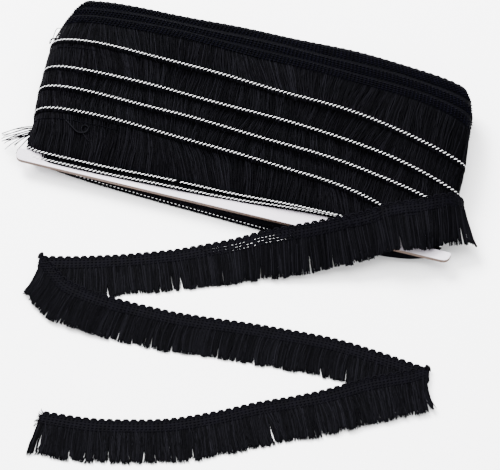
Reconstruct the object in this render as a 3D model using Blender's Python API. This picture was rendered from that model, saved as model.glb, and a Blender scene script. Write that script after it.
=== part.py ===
# Brush fringe trim wound on a flat card, with its free end laid out in a zigzag.
# The tables are in millimetres: X runs along the card's near long edge, Y runs away from it,
# Z is up and the surface it lies on is at zero.

import math
import random
from collections import namedtuple

import bpy
from mathutils import Vector

MM = 0.001
UP = Vector((0.0, 0.0, 1.0))
# The part's origin: the middle of the whole seen from above, on the surface it lies on
ORIGIN = Vector((-9.7, -24.3, 0.0))

# Trim: its crocheted heading, and the strip that the fringe's roots are sewn in
HEADING_WIDTH = 8.0
HEADING_THICK = 1.4
SCALLOP_PITCH = 4.0
SCALLOP_REACH = 0.6
RUNG_RISE = 0.35
PIECE_GAP = 0.3
ROOT_STRIP = 1.5
ROOT_THICK = 1.1
TIP_THICK = 0.8
LOCK_PITCH = 2.2

# Card, on a slight slope because the wound layers under its far side are thicker
CARD_THICK = 2.0
CARD_DEPTH = 105.0
CARD_NEAR_Y = 6.0
CARD_SKEW = 1.2
CARD_NEAR_Z = 8.0
CARD_SLOPE = 7.0 / 105.0
CARD_LEFT = -129.5
CARD_RIGHT = 103.7
WAIST_LEFT = -118.0
WAIST_RIGHT = 78.0
EAR_DEPTH = 5.5
NOTCH_DEPTH = 6.5

# Wound pack: each wrap's cut edge steps up onto the last one, and each heading steps down
# (drift is its slant along the pack, and curl its bend towards the near side at the right end)
Step = namedtuple("Step", "edge_y drift curl foot_z top_z")
FRINGE_STEPS = (
    Step(edge_y=14.4, drift=0.044, curl=0.0, foot_z=10.0, top_z=12.6),
    Step(edge_y=32.8, drift=-0.045, curl=42.0, foot_z=15.0, top_z=17.4),
    Step(edge_y=44.6, drift=-0.045, curl=17.0, foot_z=18.6, top_z=21.0),
    Step(edge_y=56.5, drift=-0.038, curl=20.0, foot_z=22.2, top_z=24.6),
    Step(edge_y=71.7, drift=-0.045, curl=19.0, foot_z=25.8, top_z=28.4),
)
HEADING_STEPS = (
    Step(edge_y=99.6, drift=0.0, curl=3.5, foot_z=26.0, top_z=28.0),
    Step(edge_y=108.2, drift=0.014, curl=6.0, foot_z=23.4, top_z=25.2),
    Step(edge_y=116.5, drift=0.034, curl=9.0, foot_z=19.6, top_z=22.4),
)
CURL_START = 0.3
STEP_RUN = 0.8
CROWN = 0.7
BACK_NEAR_Y = 5.3
BACK_FAR_Y = 114.0
BACK_DRIFT = -0.030
BACK_NEAR_Z = 2.2
BACK_FLAT_Y = 20.0
BACK_SINK = 2.0
TUCK_NEAR_Y = 16.5
TUCK_PITCH = 2.5
TUCK_ROWS = 5
NOSE_POWER = 3.0
NOSE_STATIONS = 12
CROWD = 1.8
TUNNEL_SHOULDER = 7.0
TUNNEL_MARGIN = 1.6
TUNNEL_FAR_INSET = -6.0

# Ends of the pack, the width of the wound loop at each place across the card
Nose = namedtuple("Nose", "y left right")
NOSES = (
    Nose(10.0, -125.5, 97.0),
    Nose(25.0, -126.5, 97.5),
    Nose(45.0, -130.5, 97.0),
    Nose(63.0, -132.5, 96.0),
    Nose(77.0, -134.0, 93.5),
    Nose(97.0, -131.5, 90.5),
    Nose(105.0, -129.5, 88.0),
    Nose(111.0, -127.0, 84.5),
    Nose(117.0, -123.0, 80.5),
)
PACK_MIDDLE_X = -17.0
PACK_HALF_LENGTH = 114.0

# Free end: the scalloped edge of the heading, the way its width and its strands point in plan
# (degrees from -Y towards +X), and how far its width dips below level. On the pack it rides
# on the wound trim, whatever height the row gives.
Lay = namedtuple("Lay", "x y z lean sweep dip")
RUN_1 = (
    Lay(99.6, 46.0, 6.5, 26, 8, 0),
    Lay(99.4, 46.0, 12.5, 26, 4, 8),
    Lay(94.5, 44.0, 17.5, 22, 0, 14),
    Lay(86.4, 38.0, 18.5, 20, 0, 16),
    Lay(69.6, 29.0, 17.0, 26, 0, 12),
    Lay(48.7, 17.5, 14.6, 28, 0, 14),
    Lay(28.0, 6.5, 12.6, 22, 0, 18),
    Lay(9.1, -1.0, 8.4, 20, 0, 14),
    Lay(-4.6, -7.6, 4.8, 22, 0, 8),
    Lay(-19.0, -14.2, 2.2, 24, 0, 3),
    Lay(-35.0, -22.0, 0.7, 25, 0, 0),
    Lay(-57.1, -32.0, 0.7, 23, 0, 0),
    Lay(-72.1, -37.8, 0.7, 20, 0, 0),
    Lay(-84.0, -42.0, 0.7, 15, -4, 0),
    Lay(-96.7, -45.7, 0.7, 8, -18, 0),
)
RUN_2 = (
    Lay(-96.7, -45.7, 3.3, 8, -16, 2),
    Lay(-90.0, -51.0, 3.3, 2, -10, 3),
    Lay(-80.1, -57.6, 3.2, -2, -6, 3),
    Lay(-68.0, -60.3, 2.9, -2, 0, 2),
    Lay(-54.0, -61.2, 2.4, 0, 0, 2),
    Lay(-41.0, -60.2, 0.7, 2, 0, 0),
    Lay(-22.0, -59.6, 0.7, 3, 2, 0),
    Lay(-4.0, -57.6, 0.7, 2, 6, 0),
    Lay(16.7, -54.9, 0.7, -2, 8, 0),
    Lay(37.7, -52.8, 0.7, -1, 6, 0),
    Lay(62.0, -51.2, 0.7, 2, 6, 0),
    Lay(87.0, -52.6, 0.7, 8, 4, 0),
    Lay(110.3, -55.2, 0.7, 18, 0, 0),
)
RUN_3 = (
    Lay(110.3, -55.2, 3.3, 18, 8, 2),
    Lay(102.5, -61.0, 3.3, 22, 4, 3),
    Lay(92.5, -66.6, 3.2, 26, 0, 3),
    Lay(82.5, -72.5, 3.0, 30, -2, 3),
    Lay(73.0, -79.6, 2.6, 32, -4, 2),
    Lay(63.0, -86.4, 2.2, 33, -4, 2),
    Lay(49.4, -93.4, 0.7, 30, -2, 0),
    Lay(35.3, -101.2, 0.7, 29, 0, 0),
    Lay(17.7, -112.6, 0.7, 26, 0, 0),
    Lay(-2.6, -123.7, 0.7, 22, 0, 0),
    Lay(-21.5, -130.4, 0.7, 16, 2, 0),
    Lay(-41.0, -135.6, 0.7, 10, 4, 0),
    Lay(-64.8, -138.6, 0.7, 2, 6, 0),
)
RUNS = (RUN_1, RUN_2, RUN_3)
FOLD_SECTIONS = 4
RIDE_HEIGHT = 1.2
EDGE_CLEARANCE = 2.0
LIP_REACH = 3.0
NOTHING_UNDER = -50.0

# Fringe nodes: the run that each belongs to, and the share of that run's length that it takes
# and the trim's width there, from the scalloped edge to the cut ends
Share = namedtuple("Share", "node run start end width")
FRINGES = (
    Share("fringe_on_pack", 0, 0.035, 0.300, 28.0),
    Share("fringe_over_edge", 0, 0.303, 0.590, 26.5),
    Share("fringe_run_1", 0, 0.593, 0.990, 26.5),
    Share("fringe_run_2", 1, 0.010, 0.990, 25.5),
    Share("fringe_run_3", 2, 0.010, 0.996, 27.5),
)
# Rings of a lock: the strand line's point, how much of the pitch it fills and its thickness
LOCK_LEVELS = ((1, 0.84, 0.95), (2, 0.66, TIP_THICK))
UNEVEN_LENGTH = 0.12
SWAY = 0.9
STRAND_SEED = 7

# Loose ends at the pack's left end: where each tip reaches, from the roots' strip
LooseEnd = namedtuple("LooseEnd", "reach_x reach_y tip_z")
LOOSE_ENDS = (
    LooseEnd(-11.5, -7.5, 6.0),
    LooseEnd(-10.5, -6.6, 8.5),
    LooseEnd(-9.5, -8.0, 4.5),
    LooseEnd(-8.0, -7.6, 7.5),
    LooseEnd(-6.6, -8.8, 5.5),
    LooseEnd(-5.0, -9.2, 7.0),
)
LOOSE_ROOT_Y = 27.5
LOOSE_ROOT_Z = 9.4
LOOSE_PITCH = 1.2

Section = namedtuple("Section", "edge root across upper")


def clear_scene():
    for item in list(bpy.data.objects):
        bpy.data.objects.remove(item, do_unlink=True)


def material(name, color, roughness):
    finish = bpy.data.materials.new(name)
    finish.use_nodes = True
    shader = finish.node_tree.nodes["Principled BSDF"]
    shader.inputs["Base Color"].default_value = (*color, 1.0)
    shader.inputs["Roughness"].default_value = roughness
    shader.inputs["Metallic"].default_value = 0.0
    return finish


def solid(name, points, faces, finish):
    mesh = bpy.data.meshes.new(name)
    mesh.from_pydata([(Vector(point) - ORIGIN) * MM for point in points], [], faces)
    mesh.materials.append(finish)
    mesh.validate()
    item = bpy.data.objects.new(name, mesh)
    bpy.context.scene.collection.objects.link(item)
    return item


def mix(low, high, share):
    return low + (high - low) * share


def smooth(share):
    share = min(1.0, max(0.0, share))
    return share * share * (3.0 - 2.0 * share)


def read_table(rows, column, key, at):
    # Straight-line reading of one column of a table, held level past its ends
    places = [getattr(row, key) for row in rows]
    values = [getattr(row, column) for row in rows]
    if at <= places[0]:
        return values[0]
    for low in range(len(rows) - 1):
        if at <= places[low + 1]:
            share = (at - places[low]) / (places[low + 1] - places[low])
            return mix(values[low], values[low + 1], share)
    return values[-1]


# Card


def card_height(y):
    return CARD_NEAR_Z + (y - CARD_NEAR_Y) * CARD_SLOPE


def rounded(corners, steps):
    # Closed outline with an arc-like curve at each corner of (x, y, radius)
    outline = []
    for index, (x, y, radius) in enumerate(corners):
        here = Vector((x, y))
        before = Vector(corners[index - 1][:2])
        after = Vector(corners[(index + 1) % len(corners)][:2])
        start = here + (before - here).normalized() * radius
        end = here + (after - here).normalized() * radius
        for step in range(steps + 1):
            share = step / steps
            outline.append(start.lerp(here, share).lerp(here.lerp(end, share), share))
    return outline


def build_card(finish):
    far = CARD_NEAR_Y + CARD_DEPTH
    ear = CARD_NEAR_Y + EAR_DEPTH
    notch = CARD_NEAR_Y + NOTCH_DEPTH
    corners = (
        (CARD_LEFT, CARD_NEAR_Y - CARD_SKEW, 4.0),
        (CARD_RIGHT, CARD_NEAR_Y + CARD_SKEW, 4.0),
        (CARD_RIGHT, ear + CARD_SKEW, 1.2),
        (WAIST_RIGHT, notch, 2.0),
        (WAIST_RIGHT, far, 14.0),
        (WAIST_LEFT, far, 12.0),
        (WAIST_LEFT, notch, 2.0),
        (CARD_LEFT, ear, 1.2),
    )
    outline = rounded(corners, 4)
    count = len(outline)
    points = []
    for side in (-0.5, 0.5):
        points += [(x, y, card_height(y) + side * CARD_THICK) for x, y in outline]
    faces = [tuple(reversed(range(count))), tuple(range(count, 2 * count))]
    for index in range(count):
        after = (index + 1) % count
        faces.append((index, after, count + after, count + index))
    return solid("card", points, faces, finish)


# Wound pack


def front_rows():
    # Rows of (y, drift, curl, z) over the front, near to far: each wrap's foot, lip and crown
    steps = FRINGE_STEPS
    rows = []
    for index, step in enumerate(steps):
        following = steps[index + 1] if index + 1 < len(steps) else HEADING_STEPS[0]
        last = index + 1 == len(steps)
        end_z = following.top_z if last else following.foot_z
        lip = step.edge_y + STEP_RUN
        if index:
            rows.append((step.edge_y, step.drift, step.curl, step.foot_z))
        rows.append((lip, step.drift, step.curl, step.top_z))
        crowns = 3 if last else 1 if following.edge_y - lip < 14.0 else 2
        for crown in range(1, crowns + 1):
            share = crown / (crowns + 1)
            rise = CROWN * math.sin(math.pi * share) * (2.4 if last else 1.0)
            rows.append((mix(lip, following.edge_y, share), mix(step.drift, following.drift, share),
                         mix(step.curl, following.curl, share), mix(step.top_z, end_z, share) + rise))
    for step in HEADING_STEPS:
        rows.append((step.edge_y - STEP_RUN, step.drift, step.curl, step.top_z))
        rows.append((step.edge_y, step.drift, step.curl, step.foot_z))
    return rows


FRONT_ROWS = front_rows()


def nose_profile(along):
    return max(0.0, 1.0 - abs(along) ** NOSE_POWER) ** (1.0 / NOSE_POWER)


def pack_point(row, along, side):
    # Outer skin of the pack: along runs from -1 at the left nose to 1 at the right nose
    fullness = nose_profile(along)
    share = row / (len(FRONT_ROWS) - 1)
    near_x = PACK_MIDDLE_X + PACK_HALF_LENGTH * along
    front_y, drift, curl, front_z = FRONT_ROWS[row]
    front_y += drift * near_x - curl * max(0.0, along - CURL_START) ** 2
    front_z += 0.35 * math.sin(near_x * 0.09 + row * 0.8) + 0.25 * math.sin(near_x * 0.043 - row * 0.5)
    back_y = mix(BACK_NEAR_Y + BACK_DRIFT * near_x * (1.0 - share), BACK_FAR_Y, share)
    y = mix(back_y, front_y, smooth(0.5 + 0.5 * side * fullness))
    if row < TUCK_ROWS:
        pull = (1.0 - fullness) ** 1.5 * (1.0 - row / TUCK_ROWS)
        y = mix(y, TUCK_NEAR_Y + TUCK_PITCH * row, pull)
    middle_z = card_height(y)
    if side > 0:
        z = mix(middle_z, front_z, fullness)
    else:
        low = mix(BACK_NEAR_Z, -BACK_SINK, smooth((y - BACK_NEAR_Y) / (BACK_FLAT_Y - BACK_NEAR_Y)))
        z = max(0.0, mix(middle_z, low, fullness))
    left = read_table(NOSES, "left", "y", y)
    right = read_table(NOSES, "right", "y", y)
    return Vector((mix(left, right, 0.5 + 0.5 * along), y, z))


def loop_stations():
    # Places round the wound loop as (along, side), closer together at the noses
    shares = [step / NOSE_STATIONS for step in range(-NOSE_STATIONS, NOSE_STATIONS + 1)]
    places = [math.copysign(1.0 - (1.0 - abs(share)) ** CROWD, share) for share in shares]
    front = [(place, 1.0) for place in places]
    back = [(place, -1.0) for place in reversed(places[1:-1])]
    return front + back


def tunnel_point(y, along, side, margin):
    # Inner wall that holds the card, one fitting gap off it
    middle = 0.5 * (WAIST_LEFT + WAIST_RIGHT)
    half = 0.5 * (WAIST_RIGHT - WAIST_LEFT) + margin
    height = 0.0 if abs(along) == 1.0 else side * (0.5 * CARD_THICK + PIECE_GAP)
    return Vector((middle + half * along, y, card_height(y) + height))


def build_wound_trim(finish):
    stations = loop_stations()
    rows = len(FRONT_ROWS)
    shoulder_y = CARD_NEAR_Y + CARD_DEPTH - TUNNEL_SHOULDER
    rings = []
    for along, side in stations:
        ring = [pack_point(row, along, side) for row in range(rows)]
        ring.append(tunnel_point(ring[-1].y, along, side, TUNNEL_FAR_INSET))
        ring.append(tunnel_point(shoulder_y, along, side, TUNNEL_MARGIN))
        ring.append(tunnel_point(ring[0].y, along, side, TUNNEL_MARGIN))
        rings.append(ring)
    size = len(rings[0])
    points = [point for ring in rings for point in ring]
    faces = []
    for station in range(len(rings)):
        following = (station + 1) % len(rings)
        for row in range(size):
            after = (row + 1) % size
            faces.append((station * size + row, following * size + row,
                          following * size + after, station * size + after))
    return solid("wound_trim", points, faces, finish)


def surface_under(x, y):
    # Height of what carries the free end at a place: wound trim or bare card, or nothing
    left = read_table(NOSES, "left", "y", y)
    right = read_table(NOSES, "right", "y", y)
    along = (2.0 * x - left - right) / (right - left)
    if abs(along) >= 1.0:
        return NOTHING_UNDER
    skin = [pack_point(row, along, 1.0) for row in range(len(FRONT_ROWS))]
    if y < skin[0].y - LIP_REACH:
        if y < CARD_NEAR_Y - EDGE_CLEARANCE:
            return NOTHING_UNDER
        return card_height(y) + 0.5 * CARD_THICK + EDGE_CLEARANCE - RIDE_HEIGHT
    if y < skin[0].y:
        return skin[0].z
    for low, high in zip(skin, skin[1:]):
        if y <= high.y:
            return mix(low.z, high.z, (y - low.y) / max(high.y - low.y, 1e-6))
    return skin[-1].z


# Free end


def plan_direction(angle):
    return Vector((math.sin(math.radians(angle)), -math.cos(math.radians(angle)), 0.0))


def curve_reading(rows, share):
    # Smooth curve through the rows: share runs from 0 to 1 by the rows' own spacing
    place = share * (len(rows) - 1)
    low = min(int(place), len(rows) - 2)
    t = place - low
    before = rows[max(low - 1, 0)]
    start = rows[low]
    end = rows[low + 1]
    after = rows[min(low + 2, len(rows) - 1)]
    values = []
    for a, b, c, d in zip(before, start, end, after):
        values.append(0.5 * (2.0 * b + (c - a) * t + (2.0 * a - 5.0 * b + 4.0 * c - d) * t * t
                             + (3.0 * b - a - 3.0 * c + d) * t ** 3))
    return Lay(*values)


def even_shares(rows, spacing, start=0.0, end=1.0):
    # Shares along a run that lie one spacing apart by length
    samples = 600
    shares = [mix(start, end, step / samples) for step in range(samples + 1)]
    places = [Vector(curve_reading(rows, share)[:3]) for share in shares]
    lengths = [0.0]
    for a, b in zip(places, places[1:]):
        lengths.append(lengths[-1] + (b - a).length)
    count = max(2, round(lengths[-1] / spacing))
    result = []
    low = 0
    for step in range(count + 1):
        target = lengths[-1] * step / count
        while low < samples - 1 and lengths[low + 1] < target:
            low += 1
        part = (target - lengths[low]) / max(lengths[low + 1] - lengths[low], 1e-9)
        result.append(mix(shares[low], shares[low + 1], part))
    return result


def needed_lift(start, end, clearance, shares):
    # How far the end of a line has to rise for the line to clear what lies under it
    lift = 0.0
    for share in shares:
        point = start.lerp(end, share)
        lift = max(lift, (surface_under(point.x, point.y) + clearance - point.z) / share)
    return lift


def cross_section(rows, share):
    # One place on a run: its scalloped edge, its fringe side and the way between them
    lay = curve_reading(rows, share)
    rest = 0.5 * HEADING_THICK
    clearance = RIDE_HEIGHT + rest
    flat = plan_direction(lay.lean) * (HEADING_WIDTH + PIECE_GAP + ROOT_STRIP)
    drop = flat.length * math.tan(math.radians(lay.dip))
    edge = Vector((lay.x, lay.y, max(lay.z, rest)))
    edge.z = max(edge.z, surface_under(edge.x, edge.y) + clearance)
    end = edge + flat - UP * drop
    end.z = max(end.z, rest)
    end.z += needed_lift(edge, end, clearance, (0.2, 0.4, 0.6, 0.8, 1.0))
    return edge, edge.lerp(end, HEADING_WIDTH / flat.length)


def with_directions(pairs):
    # Sections with the way across them and the way that one face looks, the same face all along
    sections = []
    for index, (edge, root) in enumerate(pairs):
        before = pairs[max(index - 1, 0)]
        after = pairs[min(index + 1, len(pairs) - 1)]
        travel = (after[0] + after[1] - before[0] - before[1]).normalized()
        across = (root - edge).normalized()
        sections.append(Section(edge, root, across, travel.cross(across).normalized()))
    return sections


def fold_pairs(start, end, outward):
    # Half turn of the heading from the end of one run to the start of the next
    pairs = []
    for step in range(1, FOLD_SECTIONS):
        angle = math.pi * step / FOLD_SECTIONS
        pair = []
        for low, high in zip(start, end):
            radius = 0.5 * (high.z - low.z)
            middle = low.lerp(high, 0.5 - 0.5 * math.cos(angle))
            pair.append(Vector((middle.x, middle.y, low.z + radius * (1.0 - math.cos(angle))))
                        + outward * radius * math.sin(angle))
        pairs.append(tuple(pair))
    return pairs


def heading_pairs():
    runs = [[cross_section(run, share) for share in even_shares(run, 0.5 * SCALLOP_PITCH)]
            for run in RUNS]
    left = Vector((-1.0, 0.0, 0.0))
    pairs = runs[0] + fold_pairs(runs[0][-1], runs[1][0], left)
    upper = [1.0] * len(pairs)
    pairs += runs[1] + fold_pairs(runs[1][-1], runs[2][0], -left)
    upper += [-1.0] * (len(pairs) - len(upper))
    pairs += runs[2]
    upper += [1.0] * (len(pairs) - len(upper))
    return pairs, upper


def skin_strip(name, rings, finish):
    # Solid from rings of equal size, closed at both ends
    size = len(rings[0])
    points = [point for ring in rings for point in ring]
    faces = []
    for index in range(len(rings) - 1):
        for row in range(size):
            after = (row + 1) % size
            faces.append((index * size + row, (index + 1) * size + row,
                          (index + 1) * size + after, index * size + after))
    faces.append(tuple(range(size)))
    faces.append(tuple(reversed(range(len(points) - size, len(points)))))
    return solid(name, points, faces, finish)


def build_heading(finish):
    pairs, upper = heading_pairs()
    # The face that looks up changes side at each fold, so the rungs change side with it
    sections = with_directions(pairs)
    half = 0.5 * HEADING_THICK
    rings = []
    for index, section in enumerate(sections):
        peak = index % 2
        edge = section.edge - section.across * (SCALLOP_REACH if peak else -SCALLOP_REACH)
        middle = section.edge.lerp(section.root, 0.5)
        turning = max(upper[max(index - 3, 0):index + 4]) != min(upper[max(index - 3, 0):index + 4])
        rise = 0.0 if turning or peak else RUNG_RISE
        top = half + (rise if upper[index] > 0 else 0.0)
        bottom = half + (rise if upper[index] < 0 else 0.0)
        normal = section.upper
        rings.append((edge + normal * half, middle + normal * top, section.root + normal * half,
                      section.root - normal * half, middle - normal * bottom, edge - normal * half))

    return skin_strip("heading", rings, finish)


# Fringe


def strand_lines(rows, shares, width):
    # Where a strand from each root place would pass at its middle and end, and its height
    lines = []
    for share in shares:
        lay = curve_reading(rows, share)
        edge, root = cross_section(rows, share)
        across = (root - edge).normalized()
        start = root + across * (PIECE_GAP + ROOT_STRIP)
        length = width - HEADING_WIDTH - PIECE_GAP - ROOT_STRIP
        phase = share * len(rows) * 9.0
        sway = SWAY * (math.sin(phase * 0.8) + 0.5 * math.sin(phase * 2.1 + 1.0))
        slope = math.tan(math.radians(lay.dip))
        points = [start]
        for part, turn in ((0.5, 0.5), (1.0, 1.0)):
            bend = lay.lean + lay.sweep * turn
            sideways = plan_direction(lay.lean + 90.0) * sway * part
            flat = start + plan_direction(bend) * length * part + sideways
            height = start.z - slope * length * part
            thick = 0.5 * mix(ROOT_THICK, TIP_THICK, part)
            point = Vector((flat.x, flat.y, max(height, thick)))
            point.z += needed_lift(points[-1], point, RIDE_HEIGHT + thick, (0.5, 0.75, 1.0))
            points.append(point)
        lines.append(points)
    return lines


def build_fringe(name, sections, lines, finish, seed):
    # Strip along the roots, then a lock of four sides drawn out of it between two root places
    chance = random.Random(seed)
    half = 0.5 * ROOT_THICK
    points = []
    for section in sections:
        near = section.root + section.across * PIECE_GAP
        far = near + section.across * ROOT_STRIP
        points += [near + section.upper * half, far + section.upper * half,
                   far - section.upper * half, near - section.upper * half]
    faces = [(0, 1, 2, 3)]
    last = 4 * (len(sections) - 1)
    faces.append((last + 3, last + 2, last + 1, last))
    for index in range(len(sections) - 1):
        low = 4 * index
        high = low + 4
        for row, after in ((0, 1), (2, 3), (3, 0)):
            faces.append((low + row, high + row, high + after, low + after))
        base = (low + 1, high + 1, high + 2, low + 2)
        stretch = 1.0 + chance.uniform(-UNEVEN_LENGTH, UNEVEN_LENGTH)
        for level, fill, thick in LOCK_LEVELS:
            left = lines[index]
            right = lines[index + 1]
            reach = stretch if level == 2 else 1.0
            ends = [line[level - 1].lerp(line[level], reach) for line in (left, right)]
            middle = ends[0].lerp(ends[1], 0.5)
            side = (ends[1] - ends[0]) * 0.5 * fill
            along = (middle - left[level - 1].lerp(right[level - 1], 0.5)).normalized()
            normal = side.cross(along).normalized() * 0.5 * thick
            start = len(points)
            points += [middle - side + normal, middle + side + normal,
                       middle + side - normal, middle - side - normal]
            ring = tuple(range(start, start + 4))
            for row in range(4):
                after = (row + 1) % 4
                faces.append((base[row], base[after], ring[after], ring[row]))
            base = ring
        faces.append(base)
    return solid(name, points, faces, finish)


def build_run_fringe(share, finish, seed):
    rows = RUNS[share.run]
    shares = even_shares(rows, LOCK_PITCH, share.start, share.end)
    pairs = [cross_section(rows, place) for place in shares]
    sections = with_directions(pairs)
    lines = strand_lines(rows, shares, share.width)
    return build_fringe(share.node, sections, lines, finish, seed)


def build_loose_strands(finish):
    # Strip of roots against the left nose, with the loose ends fanned out from it
    count = len(LOOSE_ENDS)
    outward = Vector((-1.0, 0.0, 0.0))
    sections = []
    lines = []
    for index in range(count + 1):
        y = LOOSE_ROOT_Y - LOOSE_PITCH * index
        root = Vector((read_table(NOSES, "left", "y", y) - 0.1, y, LOOSE_ROOT_Z))
        sections.append(Section(root, root, outward, Vector((0.0, 0.0, -1.0))))
        end = LOOSE_ENDS[min(index, count - 1)]
        start = root + outward * (PIECE_GAP + ROOT_STRIP)
        tip = start + Vector((end.reach_x, end.reach_y, end.tip_z - LOOSE_ROOT_Z))
        lines.append([start, start.lerp(tip, 0.5) + UP * 0.6, tip])
    return build_fringe("loose_strands", sections, lines, finish, STRAND_SEED)


def main():
    clear_scene()
    board = material("card_board", (0.80, 0.78, 0.79), 0.7)
    yarn = material("black_yarn", (0.006, 0.006, 0.011), 0.75)
    build_card(board)
    build_wound_trim(yarn)
    build_heading(yarn)
    for index, share in enumerate(FRINGES):
        build_run_fringe(share, yarn, STRAND_SEED + index)
    build_loose_strands(yarn)


if __name__ == "__main__":
    main()
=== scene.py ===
# Brush fringe trim wound on a flat card, its free end laid out in a zigzag.
# Tables are in millimetres in the card's own directions; the pieces are in metres.
import math
import random
from collections import namedtuple

import bpy
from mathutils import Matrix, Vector


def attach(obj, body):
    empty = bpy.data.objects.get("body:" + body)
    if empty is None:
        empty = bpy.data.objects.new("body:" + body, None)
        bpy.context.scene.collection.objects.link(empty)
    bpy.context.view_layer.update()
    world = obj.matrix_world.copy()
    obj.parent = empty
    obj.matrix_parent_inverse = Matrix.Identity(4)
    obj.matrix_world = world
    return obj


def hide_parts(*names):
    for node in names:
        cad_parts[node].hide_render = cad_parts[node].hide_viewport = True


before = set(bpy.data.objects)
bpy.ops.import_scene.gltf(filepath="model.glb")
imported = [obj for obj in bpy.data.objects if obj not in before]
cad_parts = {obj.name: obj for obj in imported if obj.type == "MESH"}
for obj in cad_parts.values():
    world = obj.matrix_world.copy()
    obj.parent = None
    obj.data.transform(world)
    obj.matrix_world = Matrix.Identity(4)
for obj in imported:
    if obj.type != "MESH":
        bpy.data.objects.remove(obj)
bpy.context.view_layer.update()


# Card: a flat brown board with white paper on both faces, which the trim is wound on. It is
# die cut, so its edge shows the raw board, with an ear at each near corner that keeps the
# wraps from slipping off.

class Wire:
    """A socket of a node tree: sums on it add Math nodes to its tree."""

    def __init__(self, tree, socket=None):
        self.tree = tree
        self.socket = socket

    def add(self, kind, values=None, settings=None, out=0):
        node = self.tree.nodes.new(kind)
        for key, value in (settings or {}).items():
            setattr(node, key, value)
        for key, value in (values or {}).items():
            if isinstance(value, Wire):
                self.tree.links.new(value.socket, node.inputs[key])
            else:
                node.inputs[key].default_value = value
        return Wire(self.tree, node.outputs[out])

    def math(self, operation, *terms):
        return self.add("ShaderNodeMath", dict(enumerate(terms)), {"operation": operation})

    def scaled(self, amount):
        return self.add("ShaderNodeVectorMath", {0: self, "Scale": amount}, {"operation": "SCALE"})

    def feed(self, node, key):
        self.tree.links.new(self.socket, node.inputs[key])

    def __add__(self, other):
        return self.math("ADD", self, other)

    def __sub__(self, other):
        return self.math("SUBTRACT", self, other)

    def __rsub__(self, other):
        return self.math("SUBTRACT", other, self)

    def __mul__(self, other):
        return self.math("MULTIPLY", self, other)

    __radd__ = __add__
    __rmul__ = __mul__


def new_finish(name, fixed):
    finish = bpy.data.materials.new(name)
    finish.use_nodes = True
    shader = finish.node_tree.nodes["Principled BSDF"]
    for key, value in fixed.items():
        shader.inputs[key].default_value = value
    return finish, Wire(finish.node_tree), shader


def tone_between(wire, share, low, high):
    return wire.add("ShaderNodeMix", {"Factor": share, 6: (*low, 1.0), 7: (*high, 1.0)},
                    {"data_type": "RGBA"}, out=2)


def noise(wire, place, scale, detail=2.0):
    return wire.add("ShaderNodeTexNoise", {"Vector": place, "Scale": scale, "Detail": detail})


def roughened(wire, shader, height, strength, depth):
    values = {"Strength": strength, "Distance": depth, "Height": height}
    wire.add("ShaderNodeBump", values).feed(shader, "Normal")


def stretched(wire, place, scale):
    return wire.add("ShaderNodeMapping", {"Vector": place, "Scale": scale})


PAPER_WHITE = (0.47, 0.435, 0.485)
# The paper's darker tone, reached by its own grubby patches and by the painted shade on the left ear
PAPER_GRUBBY_AND_PAINTED_SHADE = (0.37, 0.34, 0.385)
EAR_START = 0.105
EAR_FADE = 0.006
CREASE_DEPTH = 4.0
CREASE_WIDTH = 0.035
FOLD_STRETCH = (110.0, 260.0, 110.0)
EDGE_FACING = 0.6
PLY_STRETCH = (60.0, 60.0, 1800.0)
RAW_BOARD = (0.085, 0.050, 0.034)
RAW_BOARD_DARK = (0.030, 0.017, 0.012)

card_finish, wire, shader = new_finish("white_paper_on_brown_board", {"Roughness": 0.62})
place = wire.add("ShaderNodeTexCoord", out="Object")
normal = wire.add("ShaderNodeTexCoord", out="Normal")
facing = wire.add("ShaderNodeSeparateXYZ", {0: normal}, out=2)
edge_mask = wire.math("LESS_THAN", wire.math("ABSOLUTE", facing), EDGE_FACING)
board_plies = noise(wire, stretched(wire, place, PLY_STRETCH), 1.0, 3.0)
paper_fibre = noise(wire, place, 900.0, 3.0)
# The left ear is dog-eared: creases run over it in the relief, and the paper is darkened along the
# creases and, more faintly, over the whole ear as painted shade
beyond = wire.add("ShaderNodeSeparateXYZ", {0: place}, out=0) * -1.0 - EAR_START
ear = wire.add("ShaderNodeMapRange", {"Value": beyond, "From Min": 0.0, "From Max": EAR_FADE})
folds = noise(wire, stretched(wire, place, FOLD_STRETCH), 1.0, 1.0)
creases = wire.math("LESS_THAN", wire.math("ABSOLUTE", folds - 0.5), CREASE_WIDTH) * ear
# Painted shade: the paper's own grubby patches, less a painted shade along the ear's creases and over
# the whole ear
paper_tone_with_painted_shade = noise(wire, place, 35.0) - creases * 0.9 - ear * 0.25
paper = tone_between(wire, paper_tone_with_painted_shade, PAPER_GRUBBY_AND_PAINTED_SHADE, PAPER_WHITE)
board = tone_between(wire, board_plies, RAW_BOARD_DARK, RAW_BOARD)
wire.add("ShaderNodeMix", {"Factor": edge_mask, 6: paper, 7: board},
         {"data_type": "RGBA"}, out=2).feed(shader, "Base Color")
(paper_fibre * 0.14 + edge_mask * 0.22 + 0.50).feed(shader, "Roughness")
relief = paper_fibre + board_plies * edge_mask * 2.0 + creases * CREASE_DEPTH
roughened(wire, shader, relief, 0.25, 0.0002)
bpy.data.objects["card"].material_slots[0].material = card_finish


# Wound trim: about ten metres of black brush fringe wound lengthwise round the card, each wrap
# a little further from the near edge than the last, so that every wrap's fringe lies on the one
# before it. This is a skin of the yarn under the threads, built here in place of the imported
# trim, which is hidden, and drawn in at both ends by the turn.

MM = 0.001
UP = Vector((0.0, 0.0, 1.0))
ORIGIN = Vector((-9.7, -24.3, 0.0))
CARD_THICK = 2.0
CARD_NEAR_Y = 6.0
CARD_FAR_Y = 111.0
CARD_NEAR_Z = 8.0
CARD_SLOPE = 7.0 / 105.0
WAIST_LEFT = -118.0
WAIST_RIGHT = 78.0

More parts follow.
